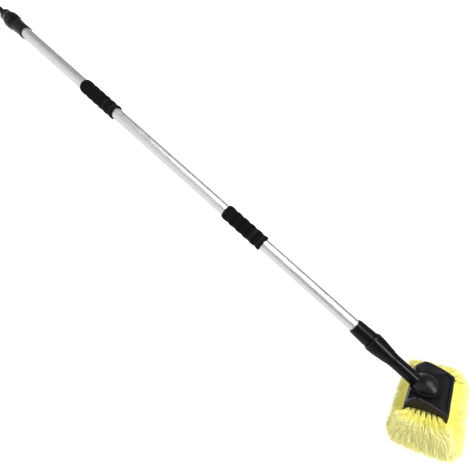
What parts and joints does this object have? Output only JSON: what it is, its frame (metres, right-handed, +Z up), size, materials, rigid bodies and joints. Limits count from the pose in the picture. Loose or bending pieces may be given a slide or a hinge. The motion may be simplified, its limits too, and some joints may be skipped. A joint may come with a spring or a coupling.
{
  "type": "telescopic broom",
  "caption": "Telescopic wash broom with a hose nipple, foam grips, a twist lock and a slanted brush head with fanned bristles.",
  "frame": {"origin": "middle of the box's bottom face, on the floor that the broom lies on", "axes": "+X along the broom from the hose nipple towards the head, +Y along the brush block, +Z up; the pole's axis rises towards the head by about 2.4 degrees"},
  "size_m": [1.3134, 0.1968, 0.0992],
  "materials": {
    "tube": "satin",
    "gloss_black": "gloss",
    "satin_black": "satin",
    "inner_plastic": "matte",
    "grip_foam": "matte",
    "seal": "matte",
    "steel": "satin",
    "bristle": "satin"
  },
  "bodies": {
    "outer_pole": {"outer_tube": "tube", "end_collar": "gloss_black", "tube_washer": "seal", "hose_adapter": "gloss_black", "adapter_washer": "seal", "nipple_ring": "seal", "upper_grip": "grip_foam", "lower_grip": "grip_foam", "lock_collar": "gloss_black", "lock_collet": "inner_plastic"},
    "lock_nut": {"cone_nut": "gloss_black", "nut_wiper": "seal"},
    "guide": {"guide_bush": "inner_plastic", "guide_seals": "seal"},
    "inner_pole": {"guide_plug": "inner_plastic", "guide_clip": "steel", "inner_tube": "tube", "neck": "gloss_black", "neck_washer": "seal", "neck_ring": "seal", "head_cover": "satin_black", "head_gasket": "seal", "tuft_plate": "inner_plastic", "plate_screws": "steel", "bristles_middle": "bristle", "bristles_heel": "bristle", "bristles_toe": "bristle", "bristles_near_end": "bristle", "bristles_far_end": "bristle"}
  },
  "joints": [
    {"name": "lock_turn", "type": "hinge", "parent": "outer_pole", "child": "lock_nut", "pos_m": [0.45721, 0, 0.06403], "axis": [0.9991, 0, 0.0428], "range_deg": [0, 180]},
    {"name": "tube_slide", "type": "slide", "parent": "outer_pole", "child": "guide", "axis": [0.9991, 0, 0.0428], "range_m": [0, 0.75]},
    {"name": "tube_turn", "type": "hinge", "parent": "guide", "child": "inner_pole", "pos_m": [0.41974, 0, 0.06243], "axis": [0.9991, 0, 0.0428], "continuous": true}
  ]
}
